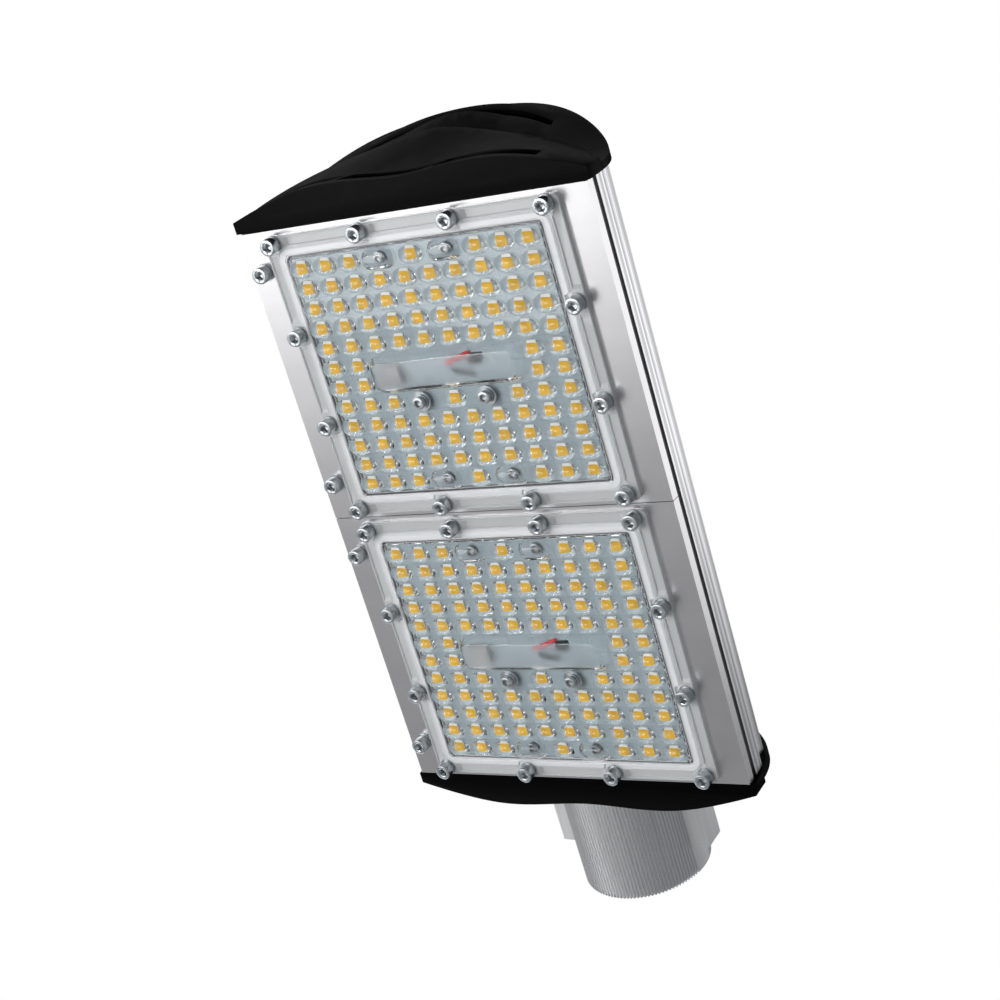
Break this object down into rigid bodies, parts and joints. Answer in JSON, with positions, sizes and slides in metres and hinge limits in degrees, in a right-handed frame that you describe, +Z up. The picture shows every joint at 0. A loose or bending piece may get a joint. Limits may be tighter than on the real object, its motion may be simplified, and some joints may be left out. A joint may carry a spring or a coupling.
{
  "type": "led street light",
  "caption": "Street light head with two flat LED lens modules under a finned arched heat sink, black vented end caps and a round socket for a pole arm.",
  "frame": {"origin": "centre of the pole socket's open mouth, on its axis", "axes": "+Y along the pole arm, out of the socket; +Z up, away from the side that gives light; +X to the right seen from below with the socket towards the viewer"},
  "size_m": [0.1684, 0.3512, 0.0779],
  "materials": {
    "profile_aluminium": "anodised satin",
    "plate_aluminium": "anodised satin",
    "board_white": "white solder mask",
    "led_amber": "phosphor",
    "clear_lens": "clear polycarbonate",
    "white_silicone": "matte",
    "screw_steel": "satin",
    "driver_case": "satin",
    "terminal_plastic": "matte",
    "black_rubber": "matte",
    "end_plate_metal": "satin",
    "tube_aluminium": "anodised satin",
    "gland_black": "matte",
    "cap_black": "fine moulded grain"
  },
  "bodies": {
    "root": {"module_plate_front": "plate_aluminium", "led_board_front": "board_white", "led_packages_front": "led_amber", "lens_plate_front": "clear_lens", "lens_gasket_front": "white_silicone", "lens_screws_front": "screw_steel", "centre_screws_front": "screw_steel", "terminal_block_front": "terminal_plastic", "end_gasket_front": "black_rubber", "end_plate_front": "end_plate_metal", "front_cap": "cap_black", "module_plate_rear": "plate_aluminium", "led_board_rear": "board_white", "led_packages_rear": "led_amber", "lens_plate_rear": "clear_lens", "lens_gasket_rear": "white_silicone", "lens_screws_rear": "screw_steel", "centre_screws_rear": "screw_steel", "terminal_block_rear": "terminal_plastic", "end_gasket_rear": "black_rubber", "end_plate_rear": "end_plate_metal", "rear_cap": "cap_black", "heat_sink": "profile_aluminium", "plate_screws": "screw_steel", "led_driver": "driver_case", "socket_tube": "tube_aluminium", "clamp_bolts": "screw_steel", "cable_gland": "gland_black", "gland_nut": "gland_black"}
  },
  "joints": []
}
